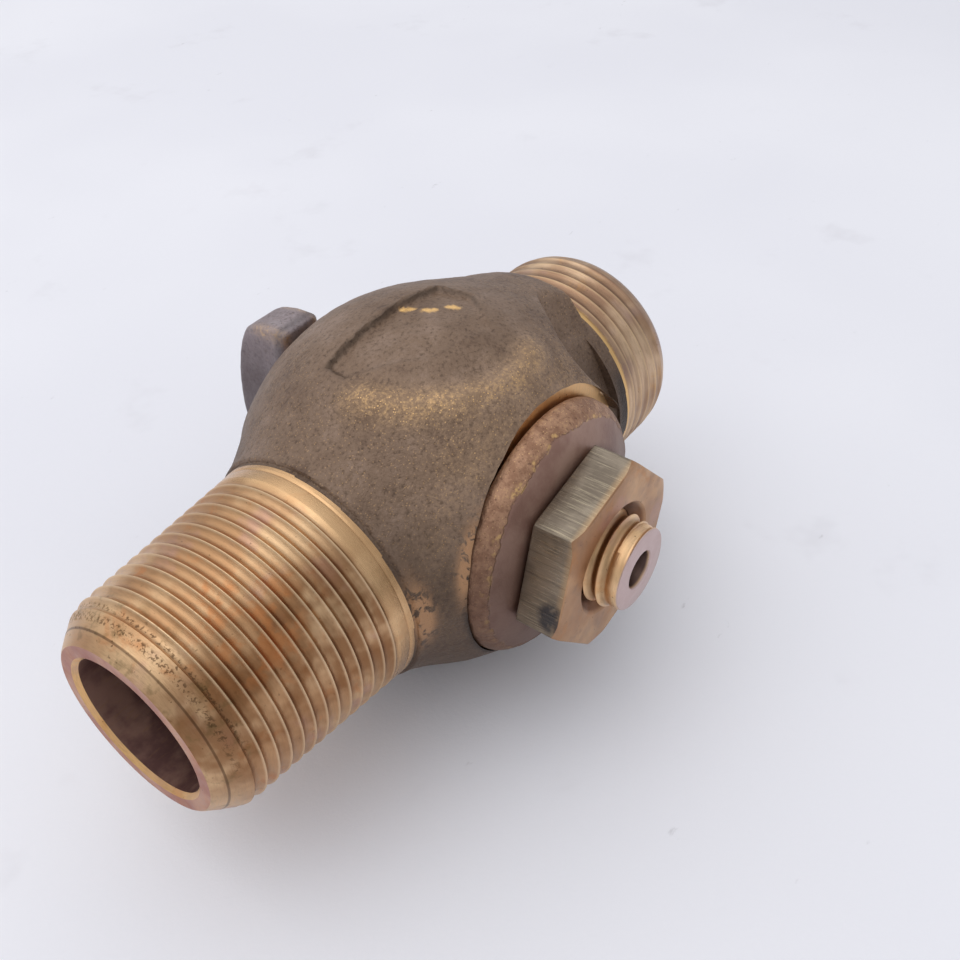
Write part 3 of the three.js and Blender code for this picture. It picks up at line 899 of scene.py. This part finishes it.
def inlet_bronze():
    """The tapered thread: crest lines with a painted highlight, orange stains, a painted dark
    reflection band on its near side, and pitted first turns.
    """
    m, colour, roughness, normal = turned_bronze(
        "turned_inlet", paint(212, 176, 136), paint(184, 142, 104), paint(196, 126, 76),
        paint(188, 146, 132))
    # Painted reflection: a dark brown band round the near side of the thread, broken up by noise.
    around = m.math("ARCTAN2", m.z, m.both(m.y, -1.0))
    side = m.both(m.span(around, 1.25, 0.75), m.span(around, -0.5, 0.15))
    side = m.both(side, m.span(m.noise(5.5, 3.0, 0.6, shift=27.0), 0.30, 0.60))
    colour = m.tint(colour, side, 0.8, paint(128, 86, 54))
    glow = m.both(m.spot(ORANGE_PLACE, 8.0), m.span(m.noise(2.6, 3.0, 0.6, shift=33.0), 0.42, 0.60))
    colour = m.tint(colour, glow, 0.5, paint(190, 118, 68))
    # Painted highlight: the thread crests are painted paler.
    crest = m.attribute("crest")
    colour = m.tint(colour, crest, 0.6, paint(232, 204, 166))
    edges = m.most(m.near(m.x, FIRST_PITS, 0.55, 0.2), m.near(m.x, SECOND_PITS, 0.45, 0.15))
    pits = m.both(edges, m.span(m.noise(0.42, 3.0, 0.65, shift=31.0), 0.50, 0.58))
    scattered = m.span(m.noise(0.7, 2.0, 0.6, shift=37.0), 0.67, 0.73)
    scattered = m.both(m.both(m.span(m.x, -46.5, -49.0), scattered), m.span(m.x, -52.4, -51.8))
    pits = m.most(pits, scattered)
    pits = m.both(pits, m.span(m.z, -3.0, 8.0))
    colour = m.tint(colour, pits, 0.45, paint(66, 56, 42))
    smear = m.both(m.span(m.x, -45.0, -48.5), m.span(m.noise(2.0, 3.0, 0.6, shift=52.0), 0.54, 0.68))
    colour = m.tint(colour, smear, 0.35, paint(96, 84, 52))
    line = m.near(m.x, BEVEL_LINE, 0.16, 0.06)
    colour = m.tint(colour, line, 0.6, paint(70, 48, 34))
    roughness = m.sum(roughness, m.both(pits, 0.4))
    collar = m.span(m.x, -27.6, -26.6)
    colour = m.tint(colour, collar, 0.5, paint(228, 188, 140))
    roughness = m.both(roughness, m.span(collar, 0, 1, 1.0, 0.75))
    return m.finish(colour, roughness, normal)


def outlet_bronze():
    """The short thread: worn bands of dull and bright bronze, golden where it meets the casting."""
    m, colour, roughness, normal = turned_bronze(
        "turned_outlet", paint(214, 184, 152), paint(168, 134, 108), paint(208, 158, 98),
        paint(174, 146, 138))
    bands = m.span(m.noise(1.5, 3.0, 0.6, (1, 14, 14), shift=44.0), 0.44, 0.62)
    colour = m.tint(colour, bands, 0.5, paint(126, 96, 82))
    # Painted highlight: the thread crests are painted paler.
    colour = m.tint(colour, m.attribute("crest"), 0.45, paint(232, 200, 156))
    edge = m.span(m.sum(m.x, m.both(m.noise(0.9, 3.0, 0.6, shift=5.0), 1.2)), 28.1, 27.5)
    colour = m.mix(edge, colour, paint(226, 184, 124))
    return m.finish(colour, roughness, normal)


def faced_bronze():
    """Machined flat faces: the spot face under the washer and the rim at the big end of the key."""
    m, colour, roughness, normal = turned_bronze(
        "faced_bronze", paint(220, 176, 122), paint(198, 154, 104), paint(208, 148, 90),
        paint(194, 152, 124))
    return m.finish(colour, roughness, normal)


def mouth_bronze():
    """End face of the inlet, with a painted rosy reflection over most of it."""
    m, colour, roughness, normal = turned_bronze(
        "mouth_bronze", paint(196, 148, 118), paint(176, 126, 102), paint(190, 126, 88),
        paint(166, 108, 102))
    # Painted reflection: a rosy tint over most of the end face.
    rosy_reflection = m.span(m.noise(5.0, 3.0, 0.5, shift=40.0), 0.34, 0.62)
    colour = m.tint(colour, rosy_reflection, 0.6, paint(158, 104, 98))
    return m.finish(colour, m.sum(roughness, m.both(rosy_reflection, 0.1)), normal)


def bore_bronze():
    """The dull brown inside of the water way."""
    m = Recipe("bore_bronze", 0.8)
    broad = m.noise(5.0, 4.0, 0.6)
    fine = m.noise(0.4, 3.0, 0.6, (6, 1, 1), shift=3.0)
    colour = m.mix(m.span(broad, 0.38, 0.64), paint(124, 92, 88), paint(160, 126, 112))
    colour = m.tint(colour, m.span(fine, 0.55, 0.7), 0.4, paint(160, 124, 92))
    return m.finish(colour, m.span(broad, 0.3, 0.7, 0.42, 0.60), m.relief(fine, 0.05))


def stem_bronze():
    """The bright threaded end of the key, with a greyer end face, and painted shade in the centre hole
    and in the thread root behind the lead.
    """
    m, colour, roughness, normal = turned_bronze(
        "turned_stem", paint(236, 198, 152), paint(208, 166, 124), paint(222, 164, 106),
        paint(212, 172, 150), along="y")
    face = m.span(m.y, STEM_END + 0.35, STEM_END + 0.05)
    colour = m.mix(face, colour, paint(204, 182, 178))
    # Painted shade: the centre hole is painted dark.
    hole = m.both(m.span(m.radius(m.x, m.z), 2.9, 2.5), m.span(m.y, STEM_END + 0.05, STEM_END + 0.5))
    colour = m.mix(hole, colour, paint(96, 78, 72))
    # Painted shade: a dark ring in the thread root just behind the thinner lead.
    root_shade = m.both(m.span(m.radius(m.x, m.z), 6.0, 5.6), m.span(m.y, STEM_END + 1.6, STEM_END + 2.2))
    colour = m.tint(colour, root_shade, 0.45, paint(96, 64, 40))
    return m.finish(colour, m.sum(roughness, m.both(face, 0.12)), normal)


def plug_bronze():
    """The ground taper and the shank of the key."""
    m, colour, roughness, normal = turned_bronze(
        "lapped_plug", paint(206, 166, 118), paint(176, 136, 94), paint(190, 134, 80),
        paint(170, 134, 108), along="y")
    return m.finish(colour, roughness, normal)


def washer_skin():
    """Reddish bronze: a sandy golden rim, and a smoother, darker crown with a ragged edge, with painted
    shade round the nut and towards the bottom.
    """
    m = Recipe("washer_bronze", 0.55)
    broad = m.noise(6.0, 4.0, 0.6, shift=2.0)
    patchy = m.noise(1.7, 4.0, 0.65, shift=6.0)
    fine = m.noise(0.45, 3.0, 0.65, shift=8.0)
    radius = m.radius(m.x, m.z)
    ragged = m.sum(radius, m.both(m.sum(broad, -0.5), 2.2))
    ragged = m.sum(ragged, m.both(m.sum(patchy, -0.5), 1.2))
    rim = m.span(ragged, 16.05, 16.35)
    rim = m.most(rim, m.span(m.y, -20.4, -19.9))
    crown = m.mix(m.span(broad, 0.38, 0.6), paint(150, 116, 102), paint(170, 138, 122))
    crown = m.tint(crown, m.span(patchy, 0.52, 0.7), 0.5, paint(168, 138, 122))
    sand = m.mix(m.span(patchy, 0.38, 0.6), paint(150, 112, 88), paint(178, 138, 110))
    distance, cell = m.grains(0.28, 3.0)
    glint = m.both(m.span(distance, 0.32, 0.15), m.span(cell, 0.60, 0.74))
    glint = m.most(glint, m.both(m.span(m.sum(patchy, m.both(fine, 0.6)), 0.90, 1.06), 0.5))
    sand = m.tint(sand, glint, 0.8, paint(222, 180, 128))
    sand = m.tint(sand, m.span(fine, 0.46, 0.30), 0.6, paint(84, 56, 44))
    colour = m.mix(rim, crown, sand)
    ledge = m.both(m.span(ragged, 15.9, 16.2), m.span(ragged, 16.9, 16.5))
    gilt = m.both(ledge, m.span(m.noise(1.5, 3.0, 0.6, shift=50.0), 0.52, 0.64))
    colour = m.tint(colour, gilt, 0.7, paint(232, 190, 126))
    # Painted shade: darker round the nut.
    nut_shade = m.span(radius, 13.4, 12.2)
    colour = m.tint(colour, nut_shade, 0.3, paint(84, 62, 54))
    # Painted shade: darker towards the bottom.
    colour = m.tint(colour, m.span(m.z, 18.0, 1.0), 0.70, paint(84, 58, 46))
    roughness = m.span(glint, 0, 1, 0.50, 0.30)
    roughness = m.sum(m.both(rim, roughness), m.both(m.math("SUBTRACT", 1.0, rim), 0.45))
    height = m.both(m.sum(m.both(fine, 0.6), m.both(patchy, 0.6)), m.span(rim, 0, 1, 0.25, 1.0))
    return m.finish(colour, roughness, m.relief(height, 0.22))


def nut_side():
    """Drawn hexagon flats: scratches along the nut, dull grey-olive, with one blue-black stain."""
    m = Recipe("nut_flats", 0.85)
    scratch = m.noise(0.16, 3.0, 0.7, (1, 30, 1))
    deep_scratch = m.noise(0.36, 2.0, 0.6, (1, 22, 1), shift=6.0)
    across = m.noise(0.5, 2.0, 0.6, (9, 1, 9), shift=11.0)
    broad = m.noise(5.0, 3.0, 0.6, shift=4.0)
    colour = m.mix(m.span(broad, 0.36, 0.64), paint(120, 109, 96), paint(144, 132, 117))
    colour = m.tint(colour, m.span(scratch, 0.5, 0.68), 0.55, paint(188, 174, 148))
    colour = m.tint(colour, m.span(deep_scratch, 0.44, 0.32), 0.4, paint(70, 62, 54))
    colour = m.tint(colour, m.span(m.y, -28.2, -29.3), 0.35, paint(214, 170, 118))
    stain = m.spot(STAIN_PLACE, 2.6)
    stain = m.both(stain, m.span(m.noise(2.2, 3.0, 0.6, shift=14.0), 0.30, 0.52))
    colour = m.tint(colour, stain, 0.8, paint(52, 54, 62))
    roughness = m.span(scratch, 0.35, 0.65, 0.40, 0.27)
    height = m.sum(m.both(scratch, 0.6), m.sum(m.both(deep_scratch, 0.5), m.both(across, 0.12)))
    return m.finish(colour, roughness, m.relief(height, 0.07))


def nut_face():
    """Turned front face and countersink of the nut: rosy brass, with painted shade in the countersink.
    """
    m, colour, roughness, normal = turned_bronze(
        "nut_face", paint(202, 164, 128), paint(172, 134, 104), paint(196, 142, 96),
        paint(184, 144, 130), along="y", groove=0.3)
    radius = m.radius(m.x, m.z)
    # Painted shade: the countersink is painted dark.
    sink = m.both(m.span(radius, 8.3, 7.5), m.span(m.y, NUT_FRONT + 0.05, NUT_FRONT + 0.5))
    colour = m.tint(colour, sink, 0.8, paint(118, 78, 52))
    dirt = m.span(m.noise(3.0, 3.0, 0.6, shift=18.0), 0.56, 0.7)
    colour = m.tint(colour, dirt, 0.35, paint(130, 106, 96))
    return m.finish(colour, m.sum(roughness, 0.08), normal)


def floor_paper():
    """Matt pale paper with faint smudges and small marks."""
    m = Recipe("floor", 0.0)
    broad = m.noise(140.0, 3.0, 0.5)
    smudge = m.noise(26.0, 4.0, 0.6, shift=5.0)
    colour = m.mix(m.span(broad, 0.35, 0.65), paint(234, 234, 241), paint(240, 240, 246))
    colour = m.tint(colour, m.span(smudge, 0.60, 0.75), 0.25, paint(208, 206, 212))
    mark = m.both(m.span(m.noise(3.2, 4.0, 0.6, (2, 1, 1), shift=12.0), 0.70, 0.78), 0.35)
    colour = m.mix(mark, colour, paint(170, 168, 172))
    return m.finish(colour, 0.62, m.relief(m.noise(0.6, 3.0, 0.6), 0.03))


# ---- Painting of faces and vertices ---------------------------------------------------------

GOLD_SPOTS = ((0.98, 2.82), (2.16, 0.32), (4.6, -1.6))
GOLD_SPOT_DIRECTION = (0.567, -0.824)
GOLD_SPOT_HALF_LENGTH = 1.1
GOLD_SPOT_HALF_WIDTH = 0.5
FLAKE_ANGLE = math.radians(157)
PATCH_PLACE = (-22.9, 1.8)


def store(obj, name, values):
    """Keeps one number for each vertex, for the materials to read."""
    layer = obj.data.attributes.get(name) or obj.data.attributes.new(name, "FLOAT", "POINT")
    layer.data.foreach_set("value", np.asarray(values, np.float32))


def give_materials(obj, materials, index):
    obj.data.materials.clear()
    for material in materials:
        obj.data.materials.append(material)
    obj.data.polygons.foreach_set("material_index", np.asarray(index, np.int32))


def smooth(obj, angle):
    """Smooth shading, with sharp edges wherever faces meet at more than an angle in degrees."""
    obj.data.polygons.foreach_set("use_smooth", np.ones(len(obj.data.polygons), bool))
    obj.data.set_sharp_from_angle(angle=math.radians(angle))
    obj.data.update()


def crest_share(radius, crest, depth):
    """1 on the crest of a thread and 0 from a little below it."""
    return ramp((crest - radius) / np.maximum(depth, 0.05), 0.16, 0.0)


def gold_spots(x, y):
    """Three short golden strokes in a row."""
    ahead, aside = GOLD_SPOT_DIRECTION
    shine = np.zeros(len(x))
    for spot_x, spot_y in GOLD_SPOTS:
        along = (x - spot_x) * ahead + (y - spot_y) * aside
        over = (y - spot_y) * ahead - (x - spot_x) * aside
        away = np.hypot(along / GOLD_SPOT_HALF_LENGTH, over / GOLD_SPOT_HALF_WIDTH)
        shine = np.maximum(shine, ramp(-away, -1.2, -0.8))
    return shine


def wear_body(body):
    """Where the casting gets painted shade, where it is golden, sandy, rubbed or torn, and where thread
    crests get a painted highlight.
    """
    points = points_of(body)
    x, y, z = points.T
    about_flow = np.hypot(y, z)
    about_key = np.hypot(x, z)
    edge = inside_pad(points)
    # Painted shade: dark lines along the sunk name pad's far and right edges, a dark ring in the gap
    # round the washer, the sliver below the wrench flat and the groove at the collar.
    far_edge = 0.55 * bump(edge - 0.1, 0.34) * ramp(y + 0.09 * x, -1.5, 2.5)
    right_edge = 0.5 * bump(edge - 0.1, 0.3) * ramp(x, 5.5, 7.5)
    washer_gap_shade = ramp(-about_key, -WASHER_RADIUS - 0.9, -WASHER_RADIUS - 0.1)
    washer_gap_shade = washer_gap_shade * (y < BOSS_FACE + 0.8) * (x < 6)
    across = z * -math.cos(FLAT_ANGLE) + y * math.sin(FLAT_ANGLE)
    flat_sliver_shade = ramp(x, 23.6, 25.4) * ramp(-across, 1.0, 5.0) * (y < 0) * (about_flow < 19)
    collar = bump(x - INLET_BIG_END, 0.5)
    pad_edge_shade = np.maximum(far_edge, right_edge) * (z > 15)
    store(body, "painted_shade", np.maximum.reduce([pad_edge_shade, 0.85 * washer_gap_shade, 0.8 * flat_sliver_shade, 0.35 * collar]))
    store(body, "shine", gold_spots(x, y) * (z > 15))
    near = ramp(-y, -6.0, 8.0) * ramp(about_key, 12.0, 17.0)
    below_ridge = ramp(np.hypot(x, y), RIDGE_RADIUS - 0.6, RIDGE_RADIUS + 0.4)
    store(body, "sandy", np.where(z > 8, np.maximum(0.25, below_ridge), np.maximum(0.6, near)))
    on_ridge = 0.95 * np.clip(ridge_height(points) * 1.2, 0, 1)
    beside_washer = 0.30 * bump(about_key - 20.5, 2.6) * (y < -10) * (x < 14)
    by_outlet = 0.45 * bump(x - 25.6, 0.7) * (about_flow > 16.5)
    store(body, "rubbed_and_highlight", np.maximum.reduce([on_ridge, beside_washer, by_outlet]))
    flake = bump(about_key - 18.3, 0.75) * bump(np.arctan2(z, x) - FLAKE_ANGLE, 0.26) * (y < -16)
    patch = bump(np.hypot(x - PATCH_PLACE[0], (z - PATCH_PLACE[1]) * 0.3), 1.2) * (y < -12)
    store(body, "torn", np.clip(1.8 * np.maximum(flake, patch), 0, 1))
    # Where the thread crests get a painted highlight.
    inlet = crest_share(about_flow, inlet_crest(x), INLET_DEPTH) * (x < COLLAR_START + 0.5)
    outlet = crest_share(about_flow, OUTLET_RADIUS, OUTLET_DEPTH) * (x > OUTLET_START)
    store(body, "crest", np.maximum(inlet, outlet))


def paint_body(body):
    """Picks the casting or a machined finish for each face, by where it lies and how it faces."""
    wear_body(body)
    centres = face_centres(body)
    normals = face_normals(body)
    x, y, z = centres.T
    about_flow = np.hypot(y, z)
    about_key = np.hypot(x, z)
    skin, inlet, outlet, faced, mouth, bore = range(6)
    index = np.full(len(centres), skin)
    index[(x < INLET_BIG_END) & (about_flow > 9)] = inlet
    index[x > OUTLET_START + 0.02] = outlet
    index[(np.abs(y - BOSS_FACE) < 0.02) & (np.abs(normals[:, 1]) > 0.99)] = faced
    index[(np.abs(y - RIM_CUT) < 0.02) & (normals[:, 1] > 0.99)] = faced
    inward = (normals[:, 1] * y + normals[:, 2] * z) < -0.5 * about_flow
    index[inward & (x < INLET_END + MOUTH_CHAMFER)] = faced
    index[(normals[:, 0] < -0.95) & (x < INLET_END + 0.1)] = mouth
    index[(about_flow < BORE_RADIUS + 0.06) & (np.abs(x) > 9)] = bore
    index[(np.abs(centres) < np.array(BODY_SLOT) / 2 + 0.02).all(1)] = bore
    index[np.abs(about_key - plug_radius(y) - SEAT_GAP) < 0.06] = bore
    materials = [
        body_skin(), inlet_bronze(), outlet_bronze(), faced_bronze(), mouth_bronze(), bore_bronze(),
    ]
    give_materials(body, materials, index)
    smooth(body, 38)


def paint_key(key):
    """Cast tee head, ground plug and bright stem, with the tee head's end edges rubbed golden with a
    painted highlight, and painted shade round the neck under the tee head.
    """
    points = points_of(key)
    x, y, z = points.T
    # The end edges are rubbed golden, and this gold is also a painted highlight along them.
    rubbed_edge_highlight = bump(np.abs(z) - TEE_HALF_WIDTH + 0.9, 0.9)
    rubbed_edge_highlight = rubbed_edge_highlight * ramp(np.abs(x), 1.9, 2.8) * ramp(-y, -30, -26)
    store(key, "rubbed_and_highlight", np.clip(1.3 * rubbed_edge_highlight, 0, 1))
    # Painted shade round the neck under the tee head.
    store(key, "painted_shade", 0.5 * bump(y - 23.2, 0.9) * (np.hypot(x, z) > 6))
    store(key, "sandy", np.full(len(points), 0.5))
    centres = face_centres(key)
    index = np.where(centres[:, 1] > PLUG_TOP + 0.1, 0, 1)
    index[centres[:, 1] < SHANK_END - 0.02] = 2
    give_materials(key, [tee_skin(), plug_bronze(), stem_bronze()], index)
    smooth(key, 40)


def paint_washer(washer):
    give_materials(washer, [washer_skin()], np.zeros(len(washer.data.polygons), int))
    smooth(washer, 40)


def paint_nut(nut):
    """Drawn flats, and turned bronze for the front, the countersink and the thread."""
    centres = face_centres(nut)
    normals = face_normals(nut)
    about_key = np.hypot(centres[:, 0], centres[:, 2])
    index = np.where((normals[:, 1] < -0.3) | (about_key < 9.5), 1, 0)
    give_materials(nut, [nut_side(), nut_face()], index)
    smooth(nut, 30)


# ---- The valve ------------------------------------------------------------------------------

def place_piece(obj, body, node):
    """Hands a finished piece to the frame, in place of its CAD node."""
    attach(obj, body)
    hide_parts(node)


body = valve_body()
paint_body(body)
place_piece(body, "body", "valve_body")

key = key_plug()
paint_key(key)
place_piece(key, "key", "key_plug")

washer = key_washer()
paint_washer(washer)
place_piece(washer, "washer", "key_washer")

nut = key_nut()
paint_nut(nut)
place_piece(nut, "nut", "key_nut")


# ---- Floor, light and camera, in metres on the frame's axes -----------------------------------

FLOOR_HALF = 5.0
FLOOR_HEIGHT = -0.00025
VALVE_MIDDLE = (0.0, 0.0, 0.026)
BRIGHT_SIDE = (-0.05, 0.22, 0.97)
CAMERA_PLACE = Vector((-0.07796, -0.07467, 0.12150))
CAMERA_RIGHT = Vector((0.59307, -0.80463, -0.02906))
CAMERA_UP = Vector((0.54138, 0.37180, 0.75410))


def make_floor():
    """A wide pale sheet just under the lowest point of the rough casting."""
    mesh = bpy.data.meshes.new("floor")
    signs = ((-1, -1), (1, -1), (1, 1), (-1, 1))
    corners = [(x * FLOOR_HALF, y * FLOOR_HALF, FLOOR_HEIGHT) for x, y in signs]
    mesh.from_pydata(corners, [], [(0, 1, 2, 3)])
    floor = bpy.data.objects.new("floor", mesh)
    bpy.context.scene.collection.objects.link(floor)
    floor.data.materials.append(floor_paper())


def soft_light(name, place, size, watts, colour):
    """A large round light that faces the valve."""
    light = bpy.data.lights.new(name, "AREA")
    light.shape = "DISK"
    light.size = size
    light.energy = watts
    light.color = colour
    obj = bpy.data.objects.new(name, light)
    obj.location = place
    obj.rotation_euler = (Vector(VALVE_MIDDLE) - Vector(place)).to_track_quat("-Z", "Y").to_euler()
    bpy.context.scene.collection.objects.link(obj)


def make_world():
    """A pale room, brightest overhead and behind the valve, and dimmer low down and in front."""
    world = bpy.data.worlds.new("room")
    bpy.context.scene.world = world
    world.use_nodes = True
    tree = world.node_tree
    background = tree.nodes["Background"]
    direction = tree.nodes.new("ShaderNodeTexCoord").outputs["Generated"]
    towards = tree.nodes.new("ShaderNodeVectorMath")
    towards.operation = "DOT_PRODUCT"
    tree.links.new(direction, towards.inputs[0])
    towards.inputs[1].default_value = BRIGHT_SIDE
    shade = tree.nodes.new("ShaderNodeMapRange")
    tree.links.new(towards.outputs["Value"], shade.inputs["Value"])
    limits = {"From Min": -0.10, "From Max": 0.90, "To Min": 0.48, "To Max": 0.89}
    for name, limit in limits.items():
        shade.inputs[name].default_value = limit
    tree.links.new(shade.outputs["Result"], background.inputs["Strength"])
    background.inputs["Color"].default_value = (0.96, 0.97, 1.0, 1.0)


def make_camera():
    camera = bpy.data.cameras.new("camera")
    camera.sensor_width = 36.0
    camera.lens = 39.56
    camera.clip_start = 0.005
    obj = bpy.data.objects.new("camera", camera)
    back = CAMERA_RIGHT.cross(CAMERA_UP)
    turn = Matrix((CAMERA_RIGHT, CAMERA_UP, back)).transposed().to_4x4()
    obj.matrix_world = Matrix.Translation(CAMERA_PLACE) @ turn
    bpy.context.scene.collection.objects.link(obj)
    bpy.context.scene.camera = obj


make_floor()
make_world()
soft_light("window", (-0.08, 0.42, 0.70), 1.20, 1.4, (1.0, 0.99, 0.98))
soft_light("ceiling", (-0.30, 0.05, 0.80), 0.90, 1.0, (0.98, 0.99, 1.0))
bpy.context.scene.view_settings.view_transform = "Standard"
make_camera()
